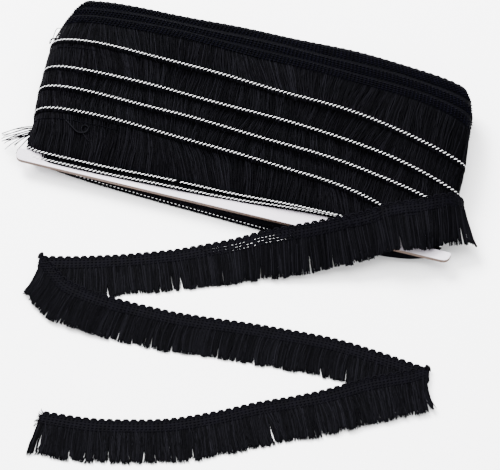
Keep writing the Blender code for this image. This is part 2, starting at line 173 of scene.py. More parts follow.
Step = namedtuple("Step", "edge_y drift curl foot_z top_z")
FRINGE_STEPS = (
    Step(14.4, 0.044, 0.0, 10.0, 12.6),
    Step(32.8, -0.045, 42.0, 15.0, 17.4),
    Step(44.6, -0.045, 17.0, 18.6, 21.0),
    Step(56.5, -0.038, 20.0, 22.2, 24.6),
    Step(71.7, -0.045, 19.0, 25.8, 28.4),
)
HEADING_STEPS = (
    Step(99.6, 0.0, 3.5, 26.0, 28.0),
    Step(108.2, 0.014, 6.0, 23.4, 25.2),
    Step(116.5, 0.034, 9.0, 19.6, 22.4),
)
CURL_START = 0.3
STEP_RUN = 0.8
CROWN = 0.7
LAST_CROWN = 2.4
NARROW_STEP = 14.0
# Waves of the wound surface: height, turn per millimetre along, turn per row
WAVES = ((0.35, 0.09, 0.8), (0.25, 0.043, -0.5))
BACK_NEAR_Y = 5.3
BACK_FAR_Y = 114.0
BACK_DRIFT = -0.030
BACK_NEAR_Z = 2.2
BACK_FLAT_Y = 20.0
BACK_SINK = 2.0
TUCK_NEAR_Y = 16.5
TUCK_PITCH = 2.5
TUCK_ROWS = 5
NOSE_POWER = 3.0
CROWD = 1.8
PACK_MIDDLE_X = -17.0
PACK_HALF_LENGTH = 114.0
LOOP_LENGTH = 482.0
PIECE_GAP = 0.3
LOWEST = 0.45
LOOP_SAMPLES = 1600

Nose = namedtuple("Nose", "y left right")
NOSES = (
    Nose(10.0, -125.5, 97.0),
    Nose(25.0, -126.5, 97.5),
    Nose(45.0, -130.5, 97.0),
    Nose(63.0, -132.5, 96.0),
    Nose(77.0, -134.0, 93.5),
    Nose(97.0, -131.5, 90.5),
    Nose(105.0, -129.5, 88.0),
    Nose(111.0, -127.0, 84.5),
    Nose(117.0, -123.0, 80.5),
)
YARN_DEEP = (0.0002, 0.0002, 0.0004)
YARN_LIT = (0.0009, 0.0009, 0.0016)
THREAD_LIT = (0.0040, 0.0039, 0.0054)
CROCHET_LIT = (0.0015, 0.0014, 0.0025)
PACK_CROCHET_LIT = (0.0014, 0.0014, 0.0038)


def placed(point):
    return (Vector(point) - ORIGIN) * MM


def mix(low, high, share):
    return low + (high - low) * share


def smooth(share):
    share = min(1.0, max(0.0, share))
    return share * share * (3.0 - 2.0 * share)


def nose_at(y, column):
    if y <= NOSES[0].y:
        return getattr(NOSES[0], column)
    for low, high in zip(NOSES, NOSES[1:]):
        if y <= high.y:
            return mix(getattr(low, column), getattr(high, column), (y - low.y) / (high.y - low.y))
    return getattr(NOSES[-1], column)


def card_height(y):
    return CARD_NEAR_Z + (y - CARD_NEAR_Y) * CARD_SLOPE


def front_rows():
    # Rows of (y, drift, curl, z) over the front, which of them are the lips of the wraps, and
    # which are the tops of the headings
    rows = []
    lips = []
    for index, step in enumerate(FRINGE_STEPS):
        last = index + 1 == len(FRINGE_STEPS)
        following = HEADING_STEPS[0] if last else FRINGE_STEPS[index + 1]
        end_z = following.top_z if last else following.foot_z
        lip = step.edge_y + STEP_RUN
        if index:
            rows.append((step.edge_y, step.drift, step.curl, step.foot_z))
        lips.append(len(rows))
        rows.append((lip, step.drift, step.curl, step.top_z))
        crowns = 3 if last else 1 if following.edge_y - lip < NARROW_STEP else 2
        for crown in range(1, crowns + 1):
            share = crown / (crowns + 1)
            rise = CROWN * math.sin(math.pi * share) * (LAST_CROWN if last else 1.0)
            rows.append((mix(lip, following.edge_y, share),
                         mix(step.drift, following.drift, share),
                         mix(step.curl, following.curl, share),
                         mix(step.top_z, end_z, share) + rise))
    tops = []
    for step in HEADING_STEPS:
        tops.append(len(rows))
        rows.append((step.edge_y - STEP_RUN, step.drift, step.curl, step.top_z))
        rows.append((step.edge_y, step.drift, step.curl, step.foot_z))
    return rows, lips, tops


FRONT_ROWS, LIPS, HEADING_TOPS = front_rows()
LAST_ROW = len(FRONT_ROWS) - 1


def pack_point(row, along, side):
    # Outer skin of the pack; row may lie between two rows of the table
    low = min(int(row), LAST_ROW - 1)
    part = row - low
    front_y, drift, curl, front_z = (mix(a, b, part) for a, b in
                                     zip(FRONT_ROWS[low], FRONT_ROWS[low + 1]))
    fullness = max(0.0, 1.0 - abs(along) ** NOSE_POWER) ** (1.0 / NOSE_POWER)
    share = row / LAST_ROW
    near_x = PACK_MIDDLE_X + PACK_HALF_LENGTH * along
    front_y += drift * near_x - curl * max(0.0, along - CURL_START) ** 2
    front_z += sum(high * math.sin(near_x * a + row * b) for high, a, b in WAVES)
    back_y = mix(BACK_NEAR_Y + BACK_DRIFT * near_x * (1.0 - share), BACK_FAR_Y, share)
    y = mix(back_y, front_y, smooth(0.5 + 0.5 * side * fullness))
    if row < TUCK_ROWS:
        tucked = (1.0 - fullness) ** 1.5 * (1.0 - row / TUCK_ROWS)
        y = mix(y, TUCK_NEAR_Y + TUCK_PITCH * row, tucked)
    middle_z = card_height(y)
    if side > 0:
        z = mix(middle_z, front_z, fullness)
    else:
        low_z = mix(BACK_NEAR_Z, -BACK_SINK, smooth((y - BACK_NEAR_Y) / (BACK_FLAT_Y - BACK_NEAR_Y)))
        z = max(0.0, mix(middle_z, low_z, fullness))
    return Vector((mix(nose_at(y, "left"), nose_at(y, "right"), 0.5 + 0.5 * along), y, z))


def loop_place(turn):
    # A turn of 0 to 1 goes round the wound loop: over the front to the right, back underneath
    turn %= 1.0
    share = 4.0 * turn - 1.0 if turn <= 0.5 else 3.0 - 4.0 * turn
    along = math.copysign(1.0 - (1.0 - abs(share)) ** CROWD, share)
    return along, 1.0 if turn <= 0.5 else -1.0


def loop_point(row, turn):
    return pack_point(row, *loop_place(turn))


def skin_frame(row, turn, reach=0.35):
    # Point on the skin, the way along the loop, the way across towards the far side, outwards
    low = max(0.0, row - reach)
    high = min(float(LAST_ROW), row + reach)
    along = (loop_point(row, turn + 0.002) - loop_point(row, turn - 0.002)).normalized()
    across = (loop_point(high, turn) - loop_point(low, turn)).normalized()
    outward = along.cross(across).normalized()
    return loop_point(row, turn), along, across, outward


def evenly_spaced(values, places, pitch):
    # Values that lie one pitch apart along the line through the places of the given ones
    lengths = [0.0]
    for a, b in zip(places, places[1:]):
        lengths.append(lengths[-1] + (b - a).length)
    count = max(2, round(lengths[-1] / pitch))
    result = []
    low = 0
    for step in range(count + 1):
        target = lengths[-1] * step / count
        while low < len(values) - 2 and lengths[low + 1] < target:
            low += 1
        part = (target - lengths[low]) / max(lengths[low + 1] - lengths[low], 1e-9)
        result.append(mix(values[low], values[low + 1], part))
    return result


def even_turns(row, pitch):
    # Turns round the loop that lie one pitch apart along a row; the last would be the first again
    fine = [step / LOOP_SAMPLES for step in range(LOOP_SAMPLES + 1)]
    return evenly_spaced(fine, [loop_point(row, turn) for turn in fine], pitch)[:-1]


def linked(name, data):
    thing = bpy.data.objects.new(name, data)
    bpy.context.scene.collection.objects.link(thing)
    return thing


def new_piece(name, points, faces, edges=()):
    mesh = bpy.data.meshes.new(name)
    mesh.from_pydata([placed(point) for point in points], edges, faces)
    mesh.update()
    return linked(name, mesh)


def yarn_finish(name, across_scale, roughness, lit=YARN_LIT, by_thread=0.0):
    # Black twisted polyester: deep navy black, a dull gloss and a fine relief of its filaments,
    # and where by_thread is over zero, painted highlights: each thread painted lighter by its own
    # random share, standing in for threads that catch the light unequally
    finish, wire, shader = new_finish(name, {"Specular IOR Level": 0.012})
    place = wire.add("ShaderNodeTexCoord", out="Object")
    filaments = noise(wire, stretched(wire, place, across_scale), 1.0, 3.0)
    lots = noise(wire, place, 240.0, 2.0)
    tone = wire.add("ShaderNodeAttribute", settings={"attribute_name": "tone"}, out=2)
    patchy = wire.math("MULTIPLY_ADD", lots * 0.5 + filaments * 0.5, 2.2, -0.6)
    # Painted highlight: by_thread leans the colour towards each thread's random highlight share, cubed
    # so that a few threads are painted bright
    share = wire.add("ShaderNodeMix", {"Factor": by_thread, 2: patchy, 3: tone * tone * tone},
                     {"data_type": "FLOAT"})
    tone_between(wire, share, YARN_DEEP, lit).feed(shader, "Base Color")
    (lots * 0.20 + roughness - 0.10).feed(shader, "Roughness")
    roughened(wire, shader, filaments, 0.5, 0.0003)
    return finish


GROUND_INSET = 0.75
HEADING_INSET = 0.40
GROUND_STATIONS = 300
GROUND_ROWS = 3
# The ground closes round the card at three inner corners: how far each lies past the waist
INNER_MARGINS = (-6.0, 1.6, 1.6)
INNER_FAR_Y = CARD_FAR_Y - 7.0
INNER_OPENING = 12.0
ground_finish = yarn_finish("packed_black_yarn", (2600.0, 260.0, 900.0), 0.72)

ground_turns = even_turns(10, LOOP_LENGTH / GROUND_STATIONS)
rings = []
for turn in ground_turns:
    ring = []
    for step in range(LAST_ROW * GROUND_ROWS + 1):
        row = step / GROUND_ROWS
        point, along, across, outward = skin_frame(row, turn, 0.3)
        inner = point - outward * (GROUND_INSET if row < HEADING_TOPS[0] else HEADING_INSET)
        ring.append(Vector((inner.x, inner.y, max(LOWEST, inner.z))))
    along, side = loop_place(turn)
    height = side * (0.5 * CARD_THICK + PIECE_GAP) * smooth(INNER_OPENING * (1.0 - abs(along)))
    for y, margin in zip((ring[-1].y, INNER_FAR_Y, ring[0].y), INNER_MARGINS):
        half = 0.5 * (WAIST_RIGHT - WAIST_LEFT) + margin
        x = 0.5 * (WAIST_LEFT + WAIST_RIGHT) + half * along
        ring.append(Vector((x, y, card_height(y) + height)))
    rings.append(ring)
size = len(rings[0])
faces = []
for station in range(len(rings)):
    following = (station + 1) % len(rings)
    for row in range(size):
        after = (row + 1) % size
        faces.append((station * size + row, following * size + row,
                      following * size + after, station * size + after))
wound_ground = new_piece("wound_ground", [point for ring in rings for point in ring], faces)
wound_ground.data.materials.append(ground_finish)
wound_ground.data.shade_smooth()
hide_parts("wound_trim")
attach(wound_ground, "root")


# Fringe of the wraps: cut threads of twisted black yarn, sewn side by side in the heading and
# laid over the wrap before. They show from under the next wrap's cut ends down to their own,
# which hang over the step.

def new_tree(name, inputs):
    tree = bpy.data.node_groups.new(name, "GeometryNodeTree")
    tree.interface.new_socket("Geometry", in_out="INPUT", socket_type="NodeSocketGeometry")
    for label, kind in inputs.items():
        tree.interface.new_socket(label, in_out="INPUT", socket_type=kind)
    tree.interface.new_socket("Geometry", in_out="OUTPUT", socket_type="NodeSocketGeometry")
    given = tree.nodes.new("NodeGroupInput").outputs
    return tree, Wire(tree), {socket.name: Wire(tree, socket) for socket in given if socket.name}


def carried(wire, label):
    # The direction of that name at each point of a guide
    return wire.add("GeometryNodeInputNamedAttribute", {"Name": label}, {"data_type": "FLOAT_VECTOR"})


def close_tree(tree, wire, shape, finish):
    shape = wire.add("GeometryNodeRealizeInstances", {"Geometry": shape})
    shape = wire.add("GeometryNodeSetMaterial", {"Geometry": shape, "Material": finish})
    sink = tree.nodes.new("NodeGroupOutput")
    shape.feed(sink, "Geometry")


def made_with(tree, guide, name, values):
    # The tree's result on a guide as a plain mesh; the guide itself isn't kept
    maker = guide.modifiers.new("maker", "NODES")
    maker.node_group = tree
    for socket in tree.interface.items_tree:
        if socket.in_out == "INPUT" and socket.name in values:
            maker[socket.identifier] = values[socket.name]
    graph = bpy.context.evaluated_depsgraph_get()
    mesh = bpy.data.meshes.new_from_object(guide.evaluated_get(graph), depsgraph=graph,
                                           preserve_all_data_layers=True)
    guide.modifiers.remove(maker)
    bpy.data.objects.remove(guide)
    for label in ("side", "lift", "across"):
        if label in mesh.attributes:
            mesh.attributes.remove(mesh.attributes[label])
    return linked(name, mesh)


def thread_tree():
    # Several threads from each guide line, each with its own place, sway, length and thickness
    lengths = ("Spread", "Fan", "Wave", "Pile", "Uneven", "Thickness")
    tree, wire, given = new_tree("laid_threads", {
        "Threads": "NodeSocketInt", **dict.fromkeys(lengths, "NodeSocketFloat"),
        "Seed": "NodeSocketInt", "Yarn": "NodeSocketMaterial"})

    def any_value(low, high, seed, **owner):
        return wire.add("FunctionNodeRandomValue", {2: low, 3: high, "Seed": seed, **owner},
                        {"data_type": "FLOAT"}, out=1)

    def chance(low, high, shift):
        owner = wire.add("GeometryNodeCurveOfPoint", out="Curve Index")
        return any_value(low, high, given["Seed"] + shift, ID=owner)

    lines = wire.add("GeometryNodeMeshToCurve", {0: given["Geometry"]})
    lines = wire.add("GeometryNodeDuplicateElements", {"Geometry": lines, "Amount": given["Threads"]},
                     {"domain": "SPLINE"})
    order = Wire(tree, lines.socket.node.outputs["Duplicate Index"])
    seat = wire.math("DIVIDE", order + 0.5, given["Threads"]) * 2.0 - 1.0 + chance(-0.15, 0.15, 1)
    reach = wire.add("GeometryNodeSplineParameter", out="Factor")
    wave = wire.math("SINE", reach * chance(3.0, 8.0, 6) + chance(0.0, 6.28, 5)) * given["Wave"]
    sideways = seat * given["Spread"] + chance(-1.0, 1.0, 2) * given["Fan"] * reach * reach + wave
    height = chance(-1.0, 1.0, 3) * given["Pile"]
    offset = wire.add("ShaderNodeVectorMath", {0: carried(wire, "side").scaled(sideways),
                                               1: carried(wire, "lift").scaled(height)})
    lines = wire.add("GeometryNodeSetPosition", {"Geometry": lines, "Offset": offset})
    cut = any_value(0.0, given["Uneven"], given["Seed"])
    lines = wire.add("GeometryNodeTrimCurve", {"Curve": lines, 3: 1.0 - cut})
    ring = wire.add("GeometryNodeCurvePrimitiveCircle", {"Resolution": 3, "Radius": 1.0})
    # Each thread's random share of painted highlight, which the yarn finish reads
    thread_highlight_share = any_value(0.0, 1.0, given["Seed"] + 7)
    lines = wire.add("GeometryNodeStoreNamedAttribute",
                     {"Geometry": lines, "Name": "tone", "Value": thread_highlight_share},
                     {"domain": "CURVE", "data_type": "FLOAT"})
    thick = given["Thickness"] * (1.0 - reach * reach * 0.15) * chance(0.85, 1.2, 4)
    shape = wire.add("GeometryNodeCurveToMesh", {"Curve": lines, "Profile Curve": ring, "Scale": thick,
                                                 "Fill Caps": True})
    shape = wire.add("GeometryNodeSetShadeSmooth", {"Geometry": shape, "Shade Smooth": True})
    close_tree(tree, wire, shape, given["Yarn"])
    return tree


THREADS = thread_tree()


def guide_of(name, points, edges, ways):
    # A mesh without faces whose points carry the named directions
    guide = new_piece(name, points, [], edges)
    for label, values in ways.items():
        layer = guide.data.attributes.new(label, "FLOAT_VECTOR", "POINT")
        layer.data.foreach_set("vector", values)
    return guide


def laid(name, lines, seed, threads, thickness, spread, fan, wave, pile, uneven):
    # A piece of threads along lines of (point, way sideways, way up), its lengths in millimetres
    points, edges, sides, lifts = [], [], [], []
    for line in lines:
        start = len(points)
        for point, side, lift in line:
            points.append(point)
            sides.extend(side)
            lifts.extend(lift)
        edges += [(index, index + 1) for index in range(start, len(points) - 1)]
    guide = guide_of(name + "_guides", points, edges, {"side": sides, "lift": lifts})
    return made_with(THREADS, guide, name, {
        "Threads": threads, "Spread": spread * MM, "Fan": fan * MM, "Wave": wave * MM,
        "Pile": pile * MM, "Uneven": uneven, "Thickness": thickness * MM, "Seed": seed, "Yarn": yarn})


WRAP_PITCH = 1.0
WRAP_THREADS = 4
WRAP_SEED = 21
THREAD_RADIUS = 0.21
HANG_OUT = 0.8
HANG_DROP = 1.4
LINE_STEPS = 4
# Rows by which the threads reach in under the next wrap, and in under the first heading
ROOT_ROWS = 0.55
LAST_ROOT_ROWS = 1.1
# How far the roots lie left of the cut ends, and how that swings along a wrap, as a share of the
# threads' visible length
COMBED_LEFT = 0.10
COMB_TREND = -0.20
COMB_SWING = 0.30
SWING_TURNS = (19.0, 31.0)
# The fringe threads' colour is mostly painted highlight, from deep black up to THREAD_LIT
yarn = yarn_finish("black_fringe_yarn", (700.0, 700.0, 700.0), 0.60, THREAD_LIT, 0.85)


def wrap_lines(layer, seed):
    chance = random.Random(seed)
    lip = LIPS[layer]
    last = layer + 1 == len(LIPS)
    root = HEADING_TOPS[0] - LAST_ROOT_ROWS if last else LIPS[layer + 1] - ROOT_ROWS
    phase = chance.uniform(0.0, 2.0 * math.pi)
    shown = (pack_point(root, 0.0, 1.0) - pack_point(lip, 0.0, 1.0)).length
    lines = []
    lean = 0.0
    for index, turn in enumerate(even_turns(lip, WRAP_PITCH)):
        lean = 0.8 * lean + chance.uniform(-0.5, 0.5)
        uneven = chance.uniform(-0.3, 0.3)
        along, side = loop_place(turn)
        underneath = side < 0 and abs(along) < 0.97
        if underneath and (index % 2 or layer == 0):
            continue
        swing = (math.sin(SWING_TURNS[0] * turn + phase)
                 * math.cos(SWING_TURNS[1] * turn + 2.0 * phase))
        comb = shown * (COMBED_LEFT + COMB_TREND * along + COMB_SWING * swing)
        line = []
        for step in range(LINE_STEPS + 1):
            share = step / LINE_STEPS
            row = mix(root, lip + 0.02, share)
            shift = (lean - comb) * (1.0 - share) / LOOP_LENGTH
            point, way, across, outward = skin_frame(row, turn + shift)
            line.append((point + outward * (0.1 - 0.35 * (1.0 - share) ** 4), way, outward))
        across = skin_frame(lip + 0.3, turn)[2]
        drop = HANG_DROP if side > 0 else 0.0
        reach = across * (HANG_OUT + uneven)
        line.append((line[-1][0] - reach * 0.6 - UP * 0.35 * drop, way, outward))
        line.append((line[-2][0] - reach - UP * drop, way, outward))
        lines.append([(Vector((p.x, p.y, max(0.3, p.z))), s, l) for p, s, l in line])
    return lines


for layer in range(len(LIPS)):
    seed = WRAP_SEED + layer
    piece = laid(f"wrap_fringe_{layer + 1}", wrap_lines(layer, seed), seed, WRAP_THREADS, THREAD_RADIUS,
                 spread=0.5, fan=0.45, wave=0.42, pile=0.20, uneven=0.04)
    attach(piece, "root")

# Under the first wrap, a thinner one whose cut ends show beyond it from the left end to the middle
UNDER_START = 0.018
UNDER_END = 0.365
UNDER_FULL = 0.20
UNDER_REACH = 3.3
UNDER_DROP = 1.9
UNDER_RADIUS = 0.28
NEAR_SIDE = Vector((0.0, -1.0, 0.0))
SKIRT = ((-1.6, 4.2), (0.3, 1.4), (1.2, -1.5))
SKIRT_START = 0.52
SKIRT_END_X = 45.0


def under_reach(turn):
    return 1.0 - smooth((turn - UNDER_FULL) / (UNDER_END - UNDER_FULL))


under_turns = even_turns(0, WRAP_PITCH)
lines = []
for turn in under_turns:
    if UNDER_START < turn < UNDER_END:
        point, way, across, outward = skin_frame(0.0, turn)
        start = point + across * 2.5 - UP * (UNDER_DROP + 0.3)
        edge = point - across * (UNDER_REACH * under_reach(turn)) - UP * UNDER_DROP
        end = edge - across * 0.7 - UP * 0.4
        lines.append([(place, way, outward) for place in (start, edge, end)])
for turn in under_turns:
    point, way, across, outward = skin_frame(0.0, turn)
    if turn > SKIRT_START and point.x < SKIRT_END_X:
        # Underneath, the wrap's cut ends reach out from below the card's near edge
        skirt = (point + NEAR_SIDE * out + UP * rise for out, rise in SKIRT)
        lines.append([(place, way, NEAR_SIDE) for place in skirt])
under_fringe = laid("under_wrap_fringe", lines, WRAP_SEED, WRAP_THREADS, UNDER_RADIUS,
                    spread=0.5, fan=0.1, wave=0.05, pile=0.1, uneven=0.04)
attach(under_fringe, "root")


# Headings of the wraps: the crocheted band that holds the threads, chain rows joined by rungs
# under a scalloped edge. Three of them lie stepped one behind the other along the far side.

def tubes(name, paths, sides):
    # Closed round bars along paths of (x, y, z, radius)
    points = []
    faces = []
    for path in paths:
        start = len(points)
        for index, (x, y, z, radius) in enumerate(path):
            here = Vector((x, y, z))
            before = Vector(path[max(index - 1, 0)][:3])
            after = Vector(path[min(index + 1, len(path) - 1)][:3])
            way = (after - before).normalized()
            flat = way.cross(UP if abs(way.z) < 0.9 else Vector((1.0, 0.0, 0.0))).normalized()
            rise = flat.cross(way)
            for corner in range(sides):
                angle = 2.0 * math.pi * corner / sides
                points.append(here + (flat * math.cos(angle) + rise * math.sin(angle)) * radius)
        for index in range(len(path) - 1):
            for corner in range(sides):
                after = (corner + 1) % sides
                low = start + index * sides
                faces.append((low + after, low + corner,
                              low + sides + corner, low + sides + after))
        faces.append(tuple(range(start, start + sides)))
        faces.append(tuple(reversed(range(len(points) - sides, len(points)))))
    mesh = bpy.data.meshes.new(name)
    mesh.from_pydata([point * MM for point in points], [], faces)
    mesh.shade_smooth()
    return linked(name, mesh)


def stitch_tree():
    # One stitch on every so many points of a guide, turned to the guide's own directions
    tree, wire, given = new_tree("sewn_stitches", {
        "Stitch": "NodeSocketObject", "Every": "NodeSocketInt", "First": "NodeSocketInt",
        "Yarn": "NodeSocketMaterial"})
    index = wire.add("GeometryNodeInputIndex")
    chosen = wire.math("COMPARE", wire.math("MODULO", index, given["Every"]), given["First"])
    seats = wire.add("GeometryNodeMeshToPoints", {"Mesh": given["Geometry"], "Radius": 0.001})
    stitch = wire.add("GeometryNodeObjectInfo", {"Object": given["Stitch"]}, out="Geometry")
    turned = wire.add("FunctionNodeAxesToRotation",
                      {"Primary Axis": carried(wire, "across"),
                       "Secondary Axis": carried(wire, "lift")},
                      {"primary_axis": "Y", "secondary_axis": "Z"})
    shape = wire.add("GeometryNodeInstanceOnPoints", {"Points": seats, "Selection": chosen,
                                                      "Instance": stitch, "Rotation": turned})
    close_tree(tree, wire, shape, given["Yarn"])
    return tree


STITCHES = stitch_tree()


def sewn(name, seats, stitch, finish, every=1, first=0):
    # A piece with a stitch at every so many seats, which are (place, way across, way up)
    ways = {label: [value for seat in seats for value in seat[column]]
            for column, label in ((1, "across"), (2, "lift"))}
    guide = guide_of(name + "_seats", [seat[0] for seat in seats], (), ways)
    return made_with(STITCHES, guide, name,
                     {"Stitch": stitch, "Every": every, "First": first, "Yarn": finish})


CHAIN_ROWS = (2.5, 4.2, 5.9, 7.5)
CHAIN_SLANT = 0.12
RUNG_PITCH = 2.0


def ladder_cell(name, faces_up, sides, rung):
    # One rung pitch of the heading: a bead of thread on each chain row, and the rung under them
    paths = [[(0.5, 1.9, 0.0, rung), (0.5, 7.9, 0.0, rung)]]
    for face in faces_up:
        for y in CHAIN_ROWS:
            paths.append([(-0.75, y - CHAIN_SLANT, face * 0.10, 0.18), (0.05, y, face * 0.42, 0.42),
                          (0.95, y + CHAIN_SLANT, face * 0.10, 0.20)])
    return tubes(name, paths, sides)


def scallop(name, size):
    # One knob of the edge: a thick thread that loops out and back in over a small core
    loop = [(-1.75, 2.3, 0.0, 0.42), (-1.55, 0.9, 0.0, 0.60), (-0.7, -0.05, 0.0, 0.66),
            (0.7, -0.05, 0.0, 0.66), (1.55, 0.9, 0.0, 0.60), (1.75, 2.3, 0.0, 0.42)]
    core = [(-0.9, 1.5, 0.0, 0.45), (0.0, 1.1, 0.0, 0.62), (0.9, 1.5, 0.0, 0.45)]
    paths = [[(x, y, z, radius * size) for x, y, z, radius in path] for path in (loop, core)]
    return tubes(name, paths, 5)


WOUND_SINK = 0.25
KNOB_SINKS = (0.95, 0.85, 0.70)
LOWEST_STITCH = 1.0
CROCHET_GRAIN = (900.0, 900.0, 900.0)
heading_finish = yarn_finish("black_crochet_yarn", CROCHET_GRAIN, 0.66, CROCHET_LIT)
pack_heading_finish = yarn_finish("black_crochet_on_pack", CROCHET_GRAIN, 0.66, PACK_CROCHET_LIT)
front_cell = ladder_cell("front_cell", (1.0,), 3, 0.30)
flat_knob = scallop("flat_knob", 0.85)
ladder_seats = []
scallop_seats = []
for row, knob_sink in zip(HEADING_TOPS, KNOB_SINKS):
    for turn in reversed(even_turns(row, RUNG_PITCH)):
        point, way, across, outward = skin_frame(row - 0.25, turn)
        for seats, sink in ((ladder_seats, WOUND_SINK), (scallop_seats, WOUND_SINK + knob_sink)):
            seat = loop_point(row, turn) - outward * sink
            seat.z = max(LOWEST_STITCH, seat.z)
            seats.append((seat, -across, outward))
wound_ladder = sewn("wound_ladder_rows", ladder_seats, front_cell, pack_heading_finish)
wound_scallops = sewn("wound_scallops", scallop_seats, flat_knob, pack_heading_finish, every=2)
for piece in (wound_ladder, wound_scallops):
    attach(piece, "root")


# Holding stitch: a chain of white sewing thread near the cut ends, which keeps the fringe flat
# until the trim is used. It runs round every wrap, and is pulled out of the free end.

STITCH_PITCH = 2.1
STITCH_WHITE = (0.88, 0.88, 0.89)
STITCH_GREY = (0.72, 0.72, 0.73)
LINE_BACK = (0.02, 0.20, 0.20, 0.20, 0.20)
TACK_RISE = 0.7
TACK_OUT = 0.95
CHAIN_OUT = 0.40
FIRST_LINE_IN = 0.6
UNDER_CHAIN_OUT = 0.95
# A few stitches of the first wrap have come out here
PULLED_OUT = (0.2100, 0.2145)

white_finish, wire, shader = new_finish("white_sewing_thread", {"Sheen Weight": 0.2})
place = wire.add("ShaderNodeTexCoord", out="Object")
plies = noise(wire, place, 1500.0, 2.0)
tone_between(wire, plies, STITCH_GREY, STITCH_WHITE).feed(shader, "Base Color")
(plies * 0.2 + 0.6).feed(shader, "Roughness")
roughened(wire, shader, plies, 0.5, 0.0002)

chain_stitch = tubes("chain_stitch", [[(-0.86, -0.46, 0.0, 0.13), (-0.3, -0.16, 0.13, 0.21),
                                       (0.3, 0.16, 0.13, 0.21), (0.86, 0.46, 0.0, 0.13)]], 4)
covered_bead = tubes("covered_bead", [[(-0.95, 0.0, 0.0, 0.2), (0.0, 0.0, 0.2, 0.38),
                                       (0.95, 0.0, 0.0, 0.2)]], 4)
thread_tack = tubes("thread_tack", [[(-0.5, 0.0, 0.0, 0.08), (0.0, 0.0, 0.08, 0.17),
                                     (0.5, 0.0, 0.0, 0.08)]], 4)
chain_seats = []
tack_seats = []
for lip, back in zip(LIPS, LINE_BACK):
    for turn in reversed(even_turns(lip, STITCH_PITCH)):
        point, way, across, outward = skin_frame(lip + back, turn)
        seat = point + outward * CHAIN_OUT
        if lip == LIPS[0]:
            seat -= across * FIRST_LINE_IN
            if PULLED_OUT[0] < turn < PULLED_OUT[1]:
                continue
        if lip == LIPS[0] and turn > 0.5:
            # Underneath, only the locking thread of the first wrap's line shows at its near edge
            tack = loop_point(lip, turn)
            if tack.x < SKIRT_END_X:
                tack_seats.append((tack + UP * TACK_RISE + NEAR_SIDE * TACK_OUT, UP, NEAR_SIDE))
            continue
        seat.z = max(LOWEST, seat.z)
        chain_seats.append((seat, -across, outward))
for turn in reversed(even_turns(0, STITCH_PITCH)):
    if UNDER_START < turn < UNDER_END:
        point, way, across, outward = skin_frame(0.0, turn)
        seat = point - across * (UNDER_REACH * under_reach(turn))
        seat -= UP * (UNDER_DROP - UNDER_CHAIN_OUT)
        chain_seats.append((seat, -across, outward))
holding_stitch = sewn("holding_stitch", chain_seats, chain_stitch, white_finish)
under_stitch = sewn("holding_stitch_underneath", tack_seats, thread_tack, white_finish)
for piece in (holding_stitch, under_stitch):
    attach(piece, "root")

# Lowest rows of two covered headings, which show in places just under the cut ends above them
Glimpse = namedtuple("Glimpse", "layer start end")
GLIMPSES = (Glimpse(1, 0.010, 0.150), Glimpse(4, 0.040, 0.110))
GLIMPSE_ROWS = 1.3
glimpse_seats = []
for glimpse in GLIMPSES:
    row = LIPS[glimpse.layer] - GLIMPSE_ROWS
    for turn in reversed(even_turns(row, RUNG_PITCH)):
        if glimpse.start < turn < glimpse.end:
            point, way, across, outward = skin_frame(row, turn)
            glimpse_seats.append((point + outward * 0.25, -across, outward))
covered_rows = sewn("covered_heading_rows", glimpse_seats, covered_bead, heading_finish)
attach(covered_rows, "root")


# Free end, its heading: the same crocheted band, from the pack's right end over the card's edge
# and along the surface in three runs, turned over at each fold. A thin ground with its openings
# carries the chain rows and rungs on both faces.

Lay = namedtuple("Lay", "x y z lean sweep dip")


def laid_out(*rows):
    return [Lay(*row) for row in rows]


RUN_1 = laid_out(
    (99.6, 46.0, 6.5, 26, 8, 0), (99.4, 46.0, 12.5, 26, 4, 8), (94.5, 44.0, 17.5, 22, 0, 14),
    (86.4, 38.0, 18.5, 20, 0, 16), (69.6, 29.0, 17.0, 26, 0, 12), (48.7, 17.5, 14.6, 28, 0, 14),
    (28.0, 6.5, 12.6, 22, 0, 18), (9.1, -1.0, 8.4, 20, 0, 14), (-4.6, -7.6, 4.8, 22, 0, 8),
    (-19.0, -14.2, 2.2, 24, 0, 3), (-35.0, -22.0, 0.7, 25, 0, 0), (-57.1, -32.0, 0.7, 23, 0, 0),
    (-72.1, -37.8, 0.7, 20, 0, 0), (-84.0, -42.0, 0.7, 15, -4, 0), (-96.7, -45.7, 0.7, 8, -18, 0),
)
RUN_2 = laid_out(
    (-96.7, -45.7, 3.3, 8, -16, 2), (-90.0, -51.0, 3.3, 2, -10, 3), (-80.1, -57.6, 3.2, -2, -6, 3),
    (-68.0, -60.3, 2.9, -2, 0, 2), (-54.0, -61.2, 2.4, 0, 0, 2), (-41.0, -60.2, 0.7, 2, 0, 0),
    (-22.0, -59.6, 0.7, 3, 2, 0), (-4.0, -57.6, 0.7, 2, 6, 0), (16.7, -54.9, 0.7, -2, 8, 0),
    (37.7, -52.8, 0.7, -1, 6, 0), (62.0, -51.2, 0.7, 2, 6, 0), (87.0, -52.6, 0.7, 8, 4, 0),
    (110.3, -55.2, 0.7, 18, 0, 0),
)
RUN_3 = laid_out(
    (110.3, -55.2, 3.3, 18, 8, 2), (102.5, -61.0, 3.3, 22, 4, 3), (92.5, -66.6, 3.2, 26, 0, 3),
    (82.5, -72.5, 3.0, 30, -2, 3), (73.0, -79.6, 2.6, 32, -4, 2), (63.0, -86.4, 2.2, 33, -4, 2),
    (49.4, -93.4, 0.7, 30, -2, 0), (35.3, -101.2, 0.7, 29, 0, 0), (17.7, -112.6, 0.7, 26, 0, 0),
    (-2.6, -123.7, 0.7, 22, 0, 0), (-21.5, -130.4, 0.7, 16, 2, 0), (-41.0, -135.6, 0.7, 10, 4, 0),
    (-64.8, -138.6, 0.7, 2, 6, 0),
)
RUNS = (RUN_1, RUN_2, RUN_3)
HEADING_WIDTH = 8.0
HEADING_THICK = 1.4
ROOT_STRIP = 1.8
TURN_SECTIONS = 4
